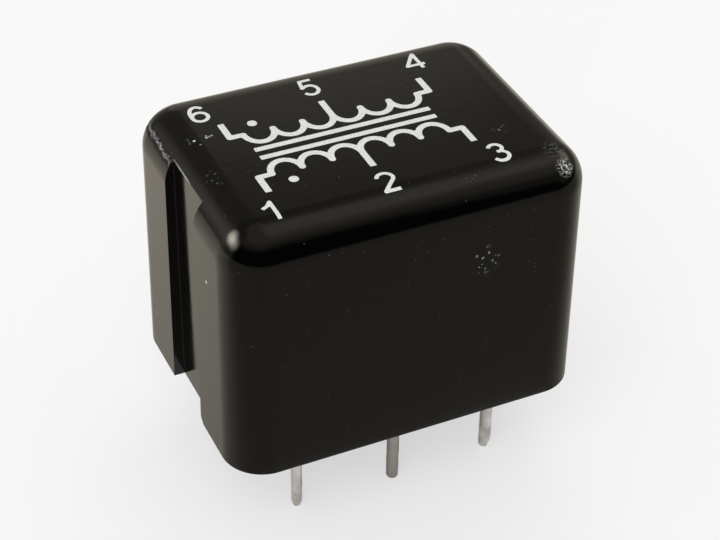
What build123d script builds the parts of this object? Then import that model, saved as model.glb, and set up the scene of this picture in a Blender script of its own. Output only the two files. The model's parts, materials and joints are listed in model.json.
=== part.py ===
from build123d import *
from math import radians, sqrt, tan
import os

# Audio transformer for a circuit board: a wound bobbin on a laminated core, cast in resin
# inside a moulded case, with six round pins. All sizes are in millimetres.
# The origin is the centre of the six pins on the seating plane, the open rim of the case.
# X runs along the pin rows, Y across the case and Z up. Pins 1 to 3 lie at -Y, 4 to 6 at +Y.

# Pins
pin_pitch = 6.35
row_spacing = 10.6
pin_diameter = 0.76
pin_reach = 6.0  # below the rim
pin_hold = 2.2  # held in the rail of the bobbin
shank_width = 0.53  # the square that each pin is pressed to above the resin's face
tip_flat = 0.17  # radius of the flat at the end of a pin
tip_lengths = [0.8, 0.3, 0.35, 0.3, 0.4, 0.3]  # of the rounded end, pin by pin
tip_trims = [0.0, 0.0, 0.3, 0.0, 0.0, 0.0]  # how much shorter than the reach each pin was cut

# Laminated core of E and I plates
tongue_width = 4.76
lamination_thickness = 0.35
lamination_count = 14
butt_gap = 0.02  # where the legs of an E meet its I
core_lift = 1.6  # from the rim up to the core

# Bobbin, with a rail for each row of pins
tube_wall = 0.45
tube_corner = 0.4
flange_thickness = 0.7
flange_lip = 0.15  # how far the flanges stand out past the winding
flange_corner = 0.6
rail_width = 2.0
rail_overhang = 1.5  # past the end pins
rail_corner = 0.4
rail_lift = 0.3  # from the core's underside up to the rails
core_clearance = 0.1  # between bobbin and plates

# Windings and tapes
tape_thickness = 0.1
end_clearance = 0.03  # between a winding and each flange

# Lead wires from the windings to the pins
lead_diameter = 0.3
lead_drop = 0.45  # from the rails down to the lead's run
lead_stop = 0.02  # from the pin to the end of its lead
tap_offset = 1.1  # how far the centre tap leaves the coil from its middle
slot_clearance = 0.1  # round a lead where it passes the flange

# Solder
bead_radius = 0.8
bead_sides = 8
bead_height = 0.9
bead_slope = 0.25

# Moulded case
side_wall = 1.2
top_wall = 1.2
corner_radius = 2.5
top_edge_radius = 2.35
least_radius = 0.3  # of any rounded edge inside the case
corner_margin = 0.03  # by which a corner stays rounder than the edge that meets it
draft_angle = 0.35
channel_width = 4.44
channel_depth = 0.66
chip_size = 0.45  # the nick at the foot of the channel's front corner
chip_tilt = 35

# Resin
fill_side = 0.625  # from the rails to the side walls
fill_end = 2.05  # from the rails to the end walls
fill_top = 1.65  # from the core to the top wall
resin_gap = 0.02  # the hairline between resin and case
resin_recess = 0.3  # from the rim up to the resin
meniscus = 0.18  # how far the resin climbs the walls
meniscus_lip = 0.05

# Waste-free punching gives the plates their proportions: every part follows from the tongue.
yoke_width = tongue_width / 2
window_width = tongue_width / 2
window_length = 1.5 * tongue_width
core_length = tongue_width + 2 * (window_width + yoke_width)
core_height = window_length + 2 * yoke_width
core_stack = lamination_thickness * lamination_count
core_middle = core_lift + core_height / 2
window_bottom = core_lift + yoke_width
window_top = window_bottom + window_length

# The tube of the bobbin fits over the tongue, and the windings fill the window around it.
tube_inside_x = tongue_width + 2 * core_clearance
tube_inside_y = core_stack + 2 * core_clearance
tube_outside_x = tube_inside_x + 2 * tube_wall
tube_outside_y = tube_inside_y + 2 * tube_wall
bobbin_bottom = window_bottom + core_clearance / 2
bobbin_top = window_top - core_clearance / 2
coil_bottom = bobbin_bottom + flange_thickness
coil_top = bobbin_top - flange_thickness
winding_room = window_width - 2 * core_clearance - tube_wall - flange_lip - 2 * tape_thickness
primary_build = winding_room / 2
secondary_build = winding_room / 2
coil_build = winding_room + 2 * tape_thickness
flange_x = tube_outside_x + 2 * (coil_build + flange_lip)
flange_y = tube_outside_y + 2 * (coil_build + flange_lip)

# The rails carry the pins, and the case closes around the rails.
rail_bottom = core_lift + rail_lift
rail_outside = row_spacing / 2 + rail_width / 2
rail_length = 2 * (pin_pitch + rail_overhang)
rail_height = coil_bottom - rail_bottom
inside_length = rail_length + 2 * fill_end
inside_width = 2 * (rail_outside + fill_side)
inside_height = core_lift + core_height + fill_top
case_length = inside_length + 2 * side_wall
case_width = inside_width + 2 * side_wall
case_height = inside_height + top_wall
top_inset = case_height * tan(radians(draft_angle))
top_radius = min(top_edge_radius, corner_radius - top_inset - corner_margin)
inside_corner = max(corner_radius - side_wall, least_radius)
inside_edge = min(max(top_edge_radius - side_wall, least_radius), inside_corner - corner_margin)
climb = min(meniscus, resin_recess - corner_margin)

pin_radius = pin_diameter / 2
shank_radius = shank_width / sqrt(2)  # out to the square's corners
pin_columns = [-pin_pitch, 0, pin_pitch]
pin_places = [(x, -row_spacing / 2) for x in pin_columns]
pin_places += [(x, row_spacing / 2) for x in reversed(pin_columns)]

# Each lead drops from the middle of its winding's thickness, beside the tongue's edges.
primary_y = tube_outside_y / 2 + primary_build / 2
secondary_y = tube_outside_y / 2 + primary_build + tape_thickness + secondary_build / 2
lead_columns = [-tongue_width / 2, tap_offset, tongue_width / 2]
lead_places = [(x, -primary_y) for x in lead_columns]
lead_places += [(x, secondary_y) for x in reversed(lead_columns)]
lead_level = rail_bottom - lead_drop
slot_width = lead_diameter + 2 * slot_clearance

os.makedirs("parts", exist_ok=True)


def save(piece, name):
    """Label a finished piece and write it to its own file."""
    piece.part.label = name
    export_step(piece.part, f"parts/{name}.step")


def case_space(gap):
    """The space inside the case, a gap clear of its walls, with the wall that backs the channel."""
    with BuildPart() as space:
        with BuildSketch():
            RectangleRounded(inside_length - 2 * gap, inside_width - 2 * gap, inside_corner - gap)
        extrude(amount=inside_height - gap)
        chamfer(space.faces().sort_by(Axis.Z)[-1].edges(), inside_edge - gap)
        with BuildSketch():
            with Locations((-inside_length / 2, 0)):
                Rectangle(2 * (channel_depth + gap), channel_width + 2 * (side_wall + gap))
        extrude(amount=inside_height, mode=Mode.SUBTRACT)
    return space.part


def coil_layer(inner_build, thickness):
    """A sleeve around the tube, from one build-up of the coil out by a thickness."""
    inner_x = tube_outside_x + 2 * inner_build
    inner_y = tube_outside_y + 2 * inner_build
    with BuildPart() as layer:
        with BuildSketch(Plane.XY.offset(coil_bottom + end_clearance)):
            RectangleRounded(
                inner_x + 2 * thickness, inner_y + 2 * thickness, tube_corner + inner_build + thickness
            )
            RectangleRounded(inner_x, inner_y, tube_corner + inner_build, mode=Mode.SUBTRACT)
        extrude(amount=coil_top - coil_bottom - 2 * end_clearance)
    return layer


# Moulded case: one shell, open below, with a shallow channel up its -X end as the key to pin 1
inside = case_space(0)
with BuildPart() as moulded_case:
    with BuildSketch():
        RectangleRounded(case_length, case_width, corner_radius)
    extrude(amount=case_height, taper=draft_angle)
    fillet(moulded_case.faces().sort_by(Axis.Z)[-1].edges(), top_radius)
    with BuildSketch():
        with Locations((-case_length / 2, 0)):
            Rectangle(2 * channel_depth, channel_width)
    extrude(amount=case_height, taper=-draft_angle, mode=Mode.SUBTRACT)
    add(inside, mode=Mode.SUBTRACT)
    with Locations(Location((-case_length / 2, -channel_width / 2, 0), (chip_tilt, -chip_tilt, 0))):
        Box(chip_size, chip_size, chip_size, mode=Mode.SUBTRACT)
save(moulded_case, "moulded_case")

# Terminal pins: round wire with a rounded end, pressed square where the resin and the rail hold it
pin_top = rail_bottom + pin_hold
pins = []
for number, (x, y) in enumerate(pin_places, start=1):
    tip = -pin_reach + tip_trims[number - 1]
    with BuildPart() as terminal_pin:
        with BuildSketch(Plane.XZ.offset(-y)):
            with BuildLine():
                start = (x + pin_radius, tip + tip_lengths[number - 1])
                end = (x + tip_flat, tip)
                side = Line((x + pin_radius, resin_recess), start)
                TangentArc(start, end, tangent=side % 1)
                Polyline(end, (x, tip), (x, resin_recess), side @ 0)
            make_face()
        revolve(axis=Axis((x, y, 0), (0, 0, 1)))
        with BuildSketch(Plane.XY.offset(resin_recess)):
            with Locations((x, y)):
                Rectangle(shank_width, shank_width)
        extrude(amount=pin_top - resin_recess)
    save(terminal_pin, f"terminal_pin_{number}")
    pins.append(terminal_pin.part)

# Bobbin: a square tube with two flanges, the lower one with a rail for each row of pins
with BuildPart() as bobbin:
    with BuildSketch(Plane.XY.offset(bobbin_bottom)):
        RectangleRounded(tube_outside_x, tube_outside_y, tube_corner)
    extrude(amount=bobbin_top - bobbin_bottom)
    with BuildSketch(Plane.XY.offset(coil_top)) as upper_flange:
        Rectangle(flange_x, flange_y)
        chamfer(upper_flange.vertices(), flange_corner)
    extrude(amount=flange_thickness)
    with BuildSketch(Plane.XY.offset(bobbin_bottom)):
        Rectangle(flange_x, 2 * rail_outside - rail_width)
    extrude(amount=flange_thickness)
    with BuildSketch(Plane.XY.offset(rail_bottom)) as rails:
        with GridLocations(0, row_spacing, 1, 2):
            Rectangle(rail_length, rail_width)
        chamfer(rails.vertices(), rail_corner)
    extrude(amount=rail_height)
    with BuildSketch(Plane.XY.offset(bobbin_bottom)):
        Rectangle(tube_inside_x, tube_inside_y)
    extrude(amount=bobbin_top - bobbin_bottom, mode=Mode.SUBTRACT)
    with BuildSketch(Plane.XY.offset(rail_bottom)):
        with Locations(*lead_places):
            Rectangle(slot_width, slot_width)
    extrude(amount=rail_height, mode=Mode.SUBTRACT)
    add(pins, mode=Mode.SUBTRACT)
save(bobbin, "bobbin")

# Windings and tapes, from the tube outwards
primary_winding = coil_layer(0, primary_build)
save(primary_winding, "primary_winding")
interlayer_tape = coil_layer(primary_build, tape_thickness)
save(interlayer_tape, "interlayer_tape")
secondary_winding = coil_layer(primary_build + tape_thickness, secondary_build)
save(secondary_winding, "secondary_winding")
outer_tape = coil_layer(winding_room + tape_thickness, tape_thickness)
save(outer_tape, "outer_tape")

# Core plates: each layer is an E and an I in one plane, turned over from layer to layer
e_height = yoke_width + window_length - butt_gap
window_places = [(side * (tongue_width + window_width) / 2, core_middle) for side in (-1, 1)]
for layer in range(lamination_count):
    legs = 1 if layer % 2 == 0 else -1  # the legs of the E point up or down
    plate_plane = Plane.XZ.offset(layer * lamination_thickness - core_stack / 2)
    with BuildPart() as e_lamination:
        with BuildSketch(plate_plane):
            with Locations((0, core_middle - legs * (core_height - e_height) / 2)):
                Rectangle(core_length, e_height)
            with Locations(*window_places):
                Rectangle(window_width, window_length, mode=Mode.SUBTRACT)
        extrude(amount=lamination_thickness)
    save(e_lamination, f"e_lamination_{layer + 1:02d}")
    with BuildPart() as i_lamination:
        with BuildSketch(plate_plane):
            with Locations((0, core_middle + legs * (core_height - yoke_width) / 2)):
                Rectangle(core_length, yoke_width)
        extrude(amount=lamination_thickness)
    save(i_lamination, f"i_lamination_{layer + 1:02d}")

# Lead wires: down from the coil through the flange, then under the rail to the pin
leads = []
for number, (lead_place, pin_place) in enumerate(zip(lead_places, pin_places), start=1):
    above = Vector(*lead_place, coil_bottom + end_clearance)
    below = Vector(*lead_place, lead_level)
    pin_axis = Vector(*pin_place, lead_level)
    end = pin_axis + (below - pin_axis).normalized() * (shank_radius + lead_stop)
    with BuildPart() as lead_wire:
        with BuildLine():
            Polyline(above, below, end)
        with BuildSketch(Plane(origin=above, z_dir=below - above)):
            Circle(lead_diameter / 2)
        sweep(transition=Transition.RIGHT)
    save(lead_wire, f"lead_wire_{number}")
    leads.append(lead_wire.part)

# Solder: a plain bead round the root of each pin, which takes in the end of its lead
beads = []
for number, (x, y) in enumerate(pin_places, start=1):
    with BuildPart() as solder_bead:
        with BuildSketch(Plane.XY.offset(rail_bottom)):
            with Locations((x, y)):
                RegularPolygon(bead_radius, bead_sides)
        extrude(amount=bead_height, dir=(0, 0, -1))
        chamfer(solder_bead.faces().sort_by(Axis.Z)[0].edges(), bead_slope)
        add([pins[number - 1], leads[number - 1]], mode=Mode.SUBTRACT)
    save(solder_bead, f"solder_bead_{number}")
    beads.append(solder_bead.part)

# The hollow left below the resin, which climbs the walls a little
with BuildPart() as recess:
    with BuildSketch():
        RectangleRounded(
            inside_length - 2 * meniscus_lip, inside_width - 2 * meniscus_lip, inside_corner - meniscus_lip
        )
        with Locations((-inside_length / 2, 0)):
            Rectangle(
                2 * (channel_depth + meniscus_lip),
                channel_width + 2 * (side_wall + meniscus_lip),
                mode=Mode.SUBTRACT,
            )
    extrude(amount=resin_recess)
    chamfer(recess.faces().sort_by(Axis.Z)[-1].edges(), climb)

# Potting resin: fills the case around the core, the coil, the bobbin and the leads
resin_space = case_space(resin_gap)
with BuildPart() as potting_resin:
    add(resin_space)
    add(recess.part, mode=Mode.SUBTRACT)
    with Locations((0, 0, core_middle)):
        Box(core_length, core_stack, core_height, mode=Mode.SUBTRACT)
    with BuildSketch(Plane.XY.offset(coil_bottom)):
        RectangleRounded(
            tube_outside_x + 2 * coil_build, tube_outside_y + 2 * coil_build, tube_corner + coil_build
        )
    extrude(amount=coil_top - coil_bottom, mode=Mode.SUBTRACT)
    add([bobbin.part, *pins, *leads, *beads], mode=Mode.SUBTRACT)
save(potting_resin, "potting_resin")
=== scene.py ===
import json
from math import cos, hypot, radians, sin

import bpy
from mathutils import Matrix, Vector, noise


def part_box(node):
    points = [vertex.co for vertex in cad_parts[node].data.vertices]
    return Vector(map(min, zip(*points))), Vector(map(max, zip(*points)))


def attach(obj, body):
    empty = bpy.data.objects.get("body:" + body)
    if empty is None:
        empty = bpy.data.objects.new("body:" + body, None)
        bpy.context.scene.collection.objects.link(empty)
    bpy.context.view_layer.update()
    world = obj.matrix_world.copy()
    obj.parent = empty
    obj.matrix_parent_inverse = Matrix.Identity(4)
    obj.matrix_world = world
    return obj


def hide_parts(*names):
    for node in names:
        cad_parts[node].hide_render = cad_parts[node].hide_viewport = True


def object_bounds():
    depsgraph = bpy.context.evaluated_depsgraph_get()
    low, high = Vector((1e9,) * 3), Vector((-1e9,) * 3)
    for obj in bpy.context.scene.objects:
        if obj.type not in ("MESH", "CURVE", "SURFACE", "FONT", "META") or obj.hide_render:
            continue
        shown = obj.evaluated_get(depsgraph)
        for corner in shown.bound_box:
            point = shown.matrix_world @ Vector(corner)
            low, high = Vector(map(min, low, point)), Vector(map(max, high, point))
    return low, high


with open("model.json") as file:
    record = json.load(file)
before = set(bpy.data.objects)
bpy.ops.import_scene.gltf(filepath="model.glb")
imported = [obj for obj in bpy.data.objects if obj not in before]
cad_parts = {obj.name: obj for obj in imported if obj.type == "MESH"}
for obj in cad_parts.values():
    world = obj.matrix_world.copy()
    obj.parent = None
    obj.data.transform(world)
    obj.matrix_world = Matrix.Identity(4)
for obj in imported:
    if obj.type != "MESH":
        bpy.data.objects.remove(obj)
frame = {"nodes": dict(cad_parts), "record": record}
cad_low, cad_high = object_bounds()

# All lengths are in metres. The origin is the centre of the six pins on the seating plane.
MM = 0.001

# The camera that fits the photograph
EYE = Vector((-39.03, -82.73, 76.08)) * MM
AIM = Vector((-0.33, -0.92, 6.91)) * MM
ROLL = radians(0.99)
LENS = 96.66
SENSOR_WIDTH = 36.0
CLIP_START = 5 * MM

# The printed numbers and diagram, drawn flat in millimetres and laid on the top
INK_THICKNESS = 0.012
DIGIT_HEIGHT = 1.8
DIGIT_WIDTH = 1.16
DIGIT_STROKE = 0.24
DIGIT_VOXEL = 0.03
DIGIT_PLACES = {
    1: (-7.82, -5.49),
    2: (-0.93, -5.48),
    3: (5.92, -5.37),
    4: (5.77, 5.12),
    5: (-1.05, 4.95),
    6: (-7.94, 4.80),
}
DIAGRAM_STROKE = 0.4
DIAGRAM_VOXEL = 0.05
DIAGRAM_MIDDLE_Y = -0.25
DIAGRAM_TAP_X = (DIGIT_PLACES[2][0] + DIGIT_PLACES[5][0]) / 2
DIAGRAM_REACH = 6.2  # from the taps to the outer leads
COIL_LOOPS = 6
COIL_PITCH = 1.8
COIL_DEPTH = 1.05
COIL_LEVEL = 2.1  # from the diagram's middle line to each coil
LEAD_LEVEL = 3.6
CORE_LEVEL = 0.42
DOT_RADIUS = 0.3
DOT_DROP = 0.9
ARC_STEPS = 16
SHARP_TURN = radians(30)  # where a stroke turns by more, it gets a round joint
LEAST_STEP = 1e-4  # points of a stroke that lie closer than this are one
JOINT_SEGMENTS = 24

# The moulded case
case_low, case_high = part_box("moulded_case")
CASE_LENGTH = case_high.x - case_low.x
CASE_WIDTH = case_high.y - case_low.y
CASE_HEIGHT = case_high.z - case_low.z - INK_THICKNESS / 2 * MM  # leaves room for the ink on top
CORNER_RADIUS = 2.5 * MM
TOP_EDGE_RADIUS = 2.32 * MM
TOP_INSET = 0.1 * MM
SIDE_WALL = 1.2 * MM
TOP_WALL = 1.2 * MM
INSIDE_EDGE = 1.27 * MM
CHANNEL_WIDTH = 4.44 * MM
CHANNEL_DEPTH = 0.66 * MM
NICK_SIZE = 0.45 * MM
NICK_TILT = radians(35)
CORNER_SEGMENTS = 20
EDGE_SOFTNESS = 0.05 * MM
EDGE_SEGMENTS = 2
SOFTENED_ANGLE = radians(30)  # edges that turn by more are softened
CASE_SMOOTHING = radians(40)
SAME_LEVEL = 1e-6  # heights that differ by less are one

# Marks on the case: centre in millimetres, radius and strength. Rubbed marks are scattered scuffs,
# worn ones are roughened plastic whose pale colour is a painted glint, and bare ones are pale
# chips.
RUBBED_MARKS = [
    (Vector((4.0, -8.1, 11.3)), 1.15, 0.55),
    (Vector((-9.2, 2.5, 16.2)), 0.7, 0.2),
    (Vector((3.3, -6.5, 16.2)), 0.8, 0.2),
    (Vector((7.2, -3.2, 16.3)), 0.7, 0.25),
    (Vector((-9.4, -1.4, 16.2)), 1.0, 0.15),
]
WORN_GLINT_MARKS = [
    (Vector((9.2, -7.25, 15.65)), 0.72, 1.0),
    (Vector((8.95, -6.2, 16.2)), 0.9, 0.11),
]
BARE_MARKS = [
    (Vector((-9.1, 2.42, 16.31)), 0.11, 1.0),
    (Vector((-8.92, 1.9, 16.34)), 0.09, 0.3),
    (Vector((-8.38, 2.4, 16.34)), 0.1, 0.8),
    (Vector((-8.34, 2.58, 16.34)), 0.09, 0.5),
    (Vector((-8.26, 2.43, 16.34)), 0.09, 0.4),
    (Vector((-8.14, 2.46, 16.34)), 0.09, 0.4),
    (Vector((-8.02, 2.5, 16.34)), 0.09, 0.5),
    (Vector((-11.05, -3.98, 11.52)), 0.15, 1.0),
    (Vector((-11.09, 4.94, 2.85)), 0.2, 0.1),
]
MARK_CORE = 0.3  # the share of a mark's radius at full strength

# The rough line along the top of the end wall, on the rounding past the channel, with a painted
# highlight along it, and its dark side
ROUGH_EDGE_X = -CASE_LENGTH / 2 + TOP_INSET + TOP_EDGE_RADIUS
ROUGH_EDGE_Z = CASE_HEIGHT - TOP_EDGE_RADIUS
ROUGH_EDGE_ANGLES = radians(57), radians(52)  # at the channel, and at the far end of the line
ROUGH_EDGE_START = 0.3 * MM  # how far past the channel it has its full strength
ROUGH_EDGE_FAR_Y = 6 * MM
ROUGH_EDGE_DARK_STEP = radians(5)
ROUGH_EDGE_WIDTH = radians(4.5)
ROUGH_EDGE_CORE = 0.2 * ROUGH_EDGE_WIDTH
ROUGH_EDGE_WANDER = radians(12)

# A painted highlight along the top edge of the channel's back, and a painted highlight along its
# inner corners
CHANNEL_BACK_X = -CASE_LENGTH / 2 + CHANNEL_DEPTH
CHANNEL_BACK_OUT = ROUGH_EDGE_X - CHANNEL_BACK_X
CHANNEL_BACK_TOP = ROUGH_EDGE_Z + (TOP_EDGE_RADIUS ** 2 - CHANNEL_BACK_OUT ** 2) ** 0.5
CHANNEL_EDGE_HIGHLIGHT_WIDTH = 0.08 * MM
CHANNEL_EDGE_HIGHLIGHT_CORE = 0.4 * CHANNEL_EDGE_HIGHLIGHT_WIDTH
# Where the painted highlight on that edge fades along Y: from and to in millimetres, and its
# strength at both
CHANNEL_EDGE_HIGHLIGHT_FADES = [(-0.5, 0.1, 0.12, 1.0), (2.2, 1.3, 0.5, 1.0)]
CORNER_HIGHLIGHT_WIDTH = 0.07 * MM
CORNER_HIGHLIGHT_CORE = 0.3 * CORNER_HIGHLIGHT_WIDTH

# The pins
PIN_SIDES = 48
PIN_RADIUS = 0.37 * MM
PIN_ROOT_FLARE = 0.04 * MM
PIN_ROOT_LENGTH = 0.5 * MM
PIN_RING_STEP = 0.12 * MM
PIN_NOSE_RINGS = 8
PIN_UNEVENNESS = 0.012 * MM
PIN_LUMP_SIZE = 0.5 * MM
PIN_MERGE = PIN_RADIUS / 1000  # points that lie closer than this are one
PIN_SMOOTHING = radians(50)
NARROW_PINS = {1: 0.33, 4: 0.355}  # radii in millimetres of the pins that are narrower
NOSE_LENGTHS = {1: 0.75, 2: 0.24, 3: 0.14, 4: 0.3, 5: 0.4, 6: 0.25}  # in millimetres
TIP_FLATS = {1: 0.08, 2: 0.17, 3: 0.24, 4: 0.17, 5: 0.13, 6: 0.17}  # radii in millimetres
SLANTED_PIN = 3
SHANK_WIDTH = 0.53 * MM
RESIN_LEVEL = 0.3 * MM
DARK_TIN_PLACE = Vector((0, -5.3, -3)) * MM  # the second pin's tin is darker than the others'
DARK_TIN_REACH = 4 * MM
SLANT_HEIGHT = 0.7 * MM  # the slant at one side of the third pin's tip
SLANT_DEPTH = 0.3 * MM
SLANT_SIDE = Vector((0.9, -0.43, 0)).normalized()

# The materials
NOISE_DETAIL = 3.0
NOISE_SPAN = 0.3, 0.7  # nearly all values of a noise lie between these
TONE_WIDTH = 40.0  # how many times as wide as the grain its slow change of tone is
TONE_DETAIL = 4.0
TONE_DISTORTION = 0.6
SPECK_SHARPNESS = 3.0
TURN_SHADE_SPAN = 0.2, 0.7  # heights of a wire's round side between which the painted shade in the groove beside it ends

# The floor and the light
FLOOR_LEVEL = cad_low.z
FLOOR_SIZE = 4.0
FLOOR_GREY = 0.86
FLOOR_ROUGHNESS = 0.9
FLOOR_LIFT = 0.55  # the share of plain white that the camera sees over the floor's shadows
AMBIENT_STRENGTH = 0.7
WHITE = (1, 1, 1, 1)
WARM_TINT = (1.0, 0.93, 0.79, 1)
# The lamps: azimuth and elevation in degrees, distance, size and power
SOFTBOXES = {
    "front_softbox": (-140, 45, 0.35, 0.25, 0.5),
    "back_softbox": (30, 60, 0.4, 0.25, 0.2),
}
ROOM_RADIUS = 0.5
ROOM_SKIRT = ROOM_RADIUS / 10  # how far the room reaches below the horizon
# The room's grey at each share of its height, which is the sine of the angle above the horizon
ROOM_GREYS_FRONT = [(0.0, 0.0), (0.55, 0.0), (0.8, 0.26), (0.89, 0.36)]
ROOM_GREYS_BACK = [(0.0, 0.22), (0.6, 0.19), (0.75, 0.13), (0.89, 0.16), (0.94, 0.36)]
ROOM_TURN = 0.1  # how far from the middle the front turns into the back
# Soft patches of light on the room: azimuth and elevation, inner and outer radius as seen from
# the case in shares of the distance, and grey
ROOM_PATCHES = [
    (-60, 32, 0.02, 0.35, 8.0),
    (-77, 30, 0.02, 0.34, 4.5),
    (-50, 22, 0.0, 0.45, 0.6),
    (80, 30, 0.05, 0.3, 1.4),
    (20, 17, 0.26, 0.36, 0.3),
    (60, 55, 0.0, 0.45, 0.12),
    (95, 68, 0.12, 0.42, 0.24),
    (130, 28, 0.33, 0.42, 0.12),
    (110, 47, 0.05, 0.6, 0.2),
]
# The floor around the case as polished surfaces see it: a card with a hole for the case and its
# pins, and its grey at each distance from front to back in millimetres
CARD_LEVEL = -5.9 * MM
CARD_SIZE = 520 * MM
CARD_HOLE_LOW = Vector((-12, -14)) * MM
CARD_HOLE_HIGH = Vector((13, 9)) * MM
CARD_TURN = 0.1  # how much the light's edge on the floor leans, as a share of X against Y
CARD_GREYS = [
    (-350, 0.0), (-110, 0.25), (-14, 0.25), (2, 0.5), (15, 0.61), (30, 0.76), (70, 0.7),
    (200, 0.5), (380, 0.3),
]
CARD_SHADE = Vector((-8, 100, 0)) * MM, 20 * MM, 70 * MM  # centre, inner and outer reach along Y
CARD_SHADE_NARROWNESS = 4
CARD_SHADE_STRENGTH = 0.85


def deselect():
    """Leave edit mode and deselect every object."""
    if bpy.context.object and bpy.context.object.mode != "OBJECT":
        bpy.ops.object.mode_set(mode="OBJECT")
    bpy.ops.object.select_all(action="DESELECT")


def activate(piece):
    """Make one object the only selected and active one."""
    deselect()
    piece.select_set(True)
    bpy.context.view_layer.objects.active = piece


def new_primitive(operator, name, **sizes):
    """Add a primitive under a name and return it, selected and active."""
    deselect()
    operator(**sizes)
    piece = bpy.context.object
    piece.name = name
    piece.data.name = name
    return piece


def new_object(name, data):
    """Add an object with its data to the scene."""
    piece = bpy.data.objects.new(name, data)
    bpy.context.scene.collection.objects.link(piece)
    return piece


def choose(piece, kind, wanted):
    """Select in edit mode the edges or the faces that pass a test."""
    bpy.ops.object.mode_set(mode="EDIT")
    bpy.ops.mesh.select_mode(type=kind)
    bpy.ops.mesh.select_all(action="DESELECT")
    bpy.ops.object.mode_set(mode="OBJECT")
    mesh = piece.data
    for part in mesh.edges if kind == "EDGE" else mesh.polygons:
        part.select = wanted(mesh, part)
    bpy.ops.object.mode_set(mode="EDIT")


def add_modifier(piece, kind, **settings):
    """Add a modifier with its settings and apply it."""
    activate(piece)
    modifier = piece.modifiers.new(kind.lower(), kind)
    for key, value in settings.items():
        setattr(modifier, key, value)
    bpy.ops.object.modifier_apply(modifier=modifier.name)


def edge_ends(mesh, edge):
    """The places of an edge's two ends."""
    return [mesh.vertices[index].co for index in edge.vertices]


def is_upright(mesh, edge):
    """True for an edge that runs mostly up."""
    start, end = edge_ends(mesh, edge)
    return abs(end.z - start.z) > hypot(end.x - start.x, end.y - start.y)


def is_at_level(level):
    """A test for edges or faces that lie flat at one height."""
    def test(mesh, part):
        heights = [mesh.vertices[index].co.z for index in part.vertices]
        return all(abs(height - level) < SAME_LEVEL for height in heights)
    return test


def box_piece(name, low, high):
    """A plain box between two corners."""
    size = high - low
    middle = (low + high) / 2
    piece = new_primitive(bpy.ops.mesh.primitive_cube_add, name, size=1)
    bpy.ops.object.mode_set(mode="EDIT")
    bpy.ops.transform.resize(value=size)
    bpy.ops.transform.translate(value=middle)
    bpy.ops.object.mode_set(mode="OBJECT")
    return piece


def combine(piece, other, operation):
    """Join or cut one piece with another, which is then removed."""
    add_modifier(piece, "BOOLEAN", object=other, operation=operation, solver="EXACT")
    bpy.data.objects.remove(other)


def join(piece, others):
    """Merge other objects into a piece."""
    activate(piece)
    for other in others:
        other.select_set(True)
    bpy.ops.object.join()


def finish_shading(piece, angle):
    """Smooth the rounded faces and keep the flat ones flat."""
    activate(piece)
    bpy.ops.object.shade_smooth_by_angle(angle=angle)
    add_modifier(piece, "WEIGHTED_NORMAL", keep_sharp=True, weight=100)


def round_block(piece, radius, segments, top, top_radius, top_segments):
    """Round a block's upright edges, and then the edges round its top."""
    choose(piece, "EDGE", is_upright)
    bpy.ops.mesh.bevel(offset=radius, segments=segments, affect="EDGES")
    choose(piece, "EDGE", is_at_level(top))
    bpy.ops.mesh.bevel(
        offset=top_radius, segments=top_segments, affect="EDGES", clamp_overlap=False
    )
    bpy.ops.object.mode_set(mode="OBJECT")


def make_case():
    """The moulded shell: a tapered rounded block, hollowed from below, with the key channel."""
    shell = box_piece(
        "moulded_shell",
        Vector((-CASE_LENGTH / 2, -CASE_WIDTH / 2, 0)),
        Vector((CASE_LENGTH / 2, CASE_WIDTH / 2, CASE_HEIGHT)),
    )
    choose(shell, "FACE", is_at_level(CASE_HEIGHT))
    narrowing = (1 - 2 * TOP_INSET / CASE_LENGTH, 1 - 2 * TOP_INSET / CASE_WIDTH, 1)
    bpy.ops.transform.resize(value=narrowing, center_override=(0, 0, CASE_HEIGHT))
    segments = CORNER_SEGMENTS
    round_block(shell, CORNER_RADIUS, segments, CASE_HEIGHT, TOP_EDGE_RADIUS, segments)

    # The hollow, with the rib that backs the channel left standing in it
    inside_x = CASE_LENGTH / 2 - SIDE_WALL
    inside_y = CASE_WIDTH / 2 - SIDE_WALL
    inside_top = CASE_HEIGHT - TOP_WALL
    inside_corner = Vector((inside_x, inside_y, inside_top))
    hollow = box_piece("hollow", -inside_corner, inside_corner)
    inside_radius = CORNER_RADIUS - SIDE_WALL
    round_block(hollow, inside_radius, segments // 2, inside_top, INSIDE_EDGE, 1)
    rib_y = CHANNEL_WIDTH / 2 + SIDE_WALL
    rib = box_piece(
        "rib",
        Vector((-inside_x - SIDE_WALL, -rib_y, -2 * inside_top)),
        Vector((-inside_x + CHANNEL_DEPTH, rib_y, 2 * inside_top)),
    )
    combine(hollow, rib, "DIFFERENCE")
    combine(shell, hollow, "DIFFERENCE")

    # The key channel up the end wall
    channel = box_piece(
        "channel",
        Vector((-CASE_LENGTH, -CHANNEL_WIDTH / 2, -CASE_HEIGHT)),
        Vector((-CASE_LENGTH / 2 + CHANNEL_DEPTH, CHANNEL_WIDTH / 2, 2 * CASE_HEIGHT)),
    )
    combine(shell, channel, "DIFFERENCE")

    # The nick at the foot of the channel's front corner
    nick_corner = Vector((0.5, 0.5, 0.5)) * NICK_SIZE
    nick = box_piece("nick", -nick_corner, nick_corner)
    nick_place = Matrix.Translation((-CASE_LENGTH / 2, -CHANNEL_WIDTH / 2, 0))
    nick_tilt = Matrix.Rotation(NICK_TILT, 4, "X") @ Matrix.Rotation(-NICK_TILT, 4, "Y")
    nick.data.transform(nick_place @ nick_tilt)
    combine(shell, nick, "DIFFERENCE")

    add_modifier(
        shell, "BEVEL", width=EDGE_SOFTNESS, segments=EDGE_SEGMENTS, limit_method="ANGLE",
        angle_limit=SOFTENED_ANGLE, use_clamp_overlap=True,
    )
    finish_shading(shell, CASE_SMOOTHING)
    return shell


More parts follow.
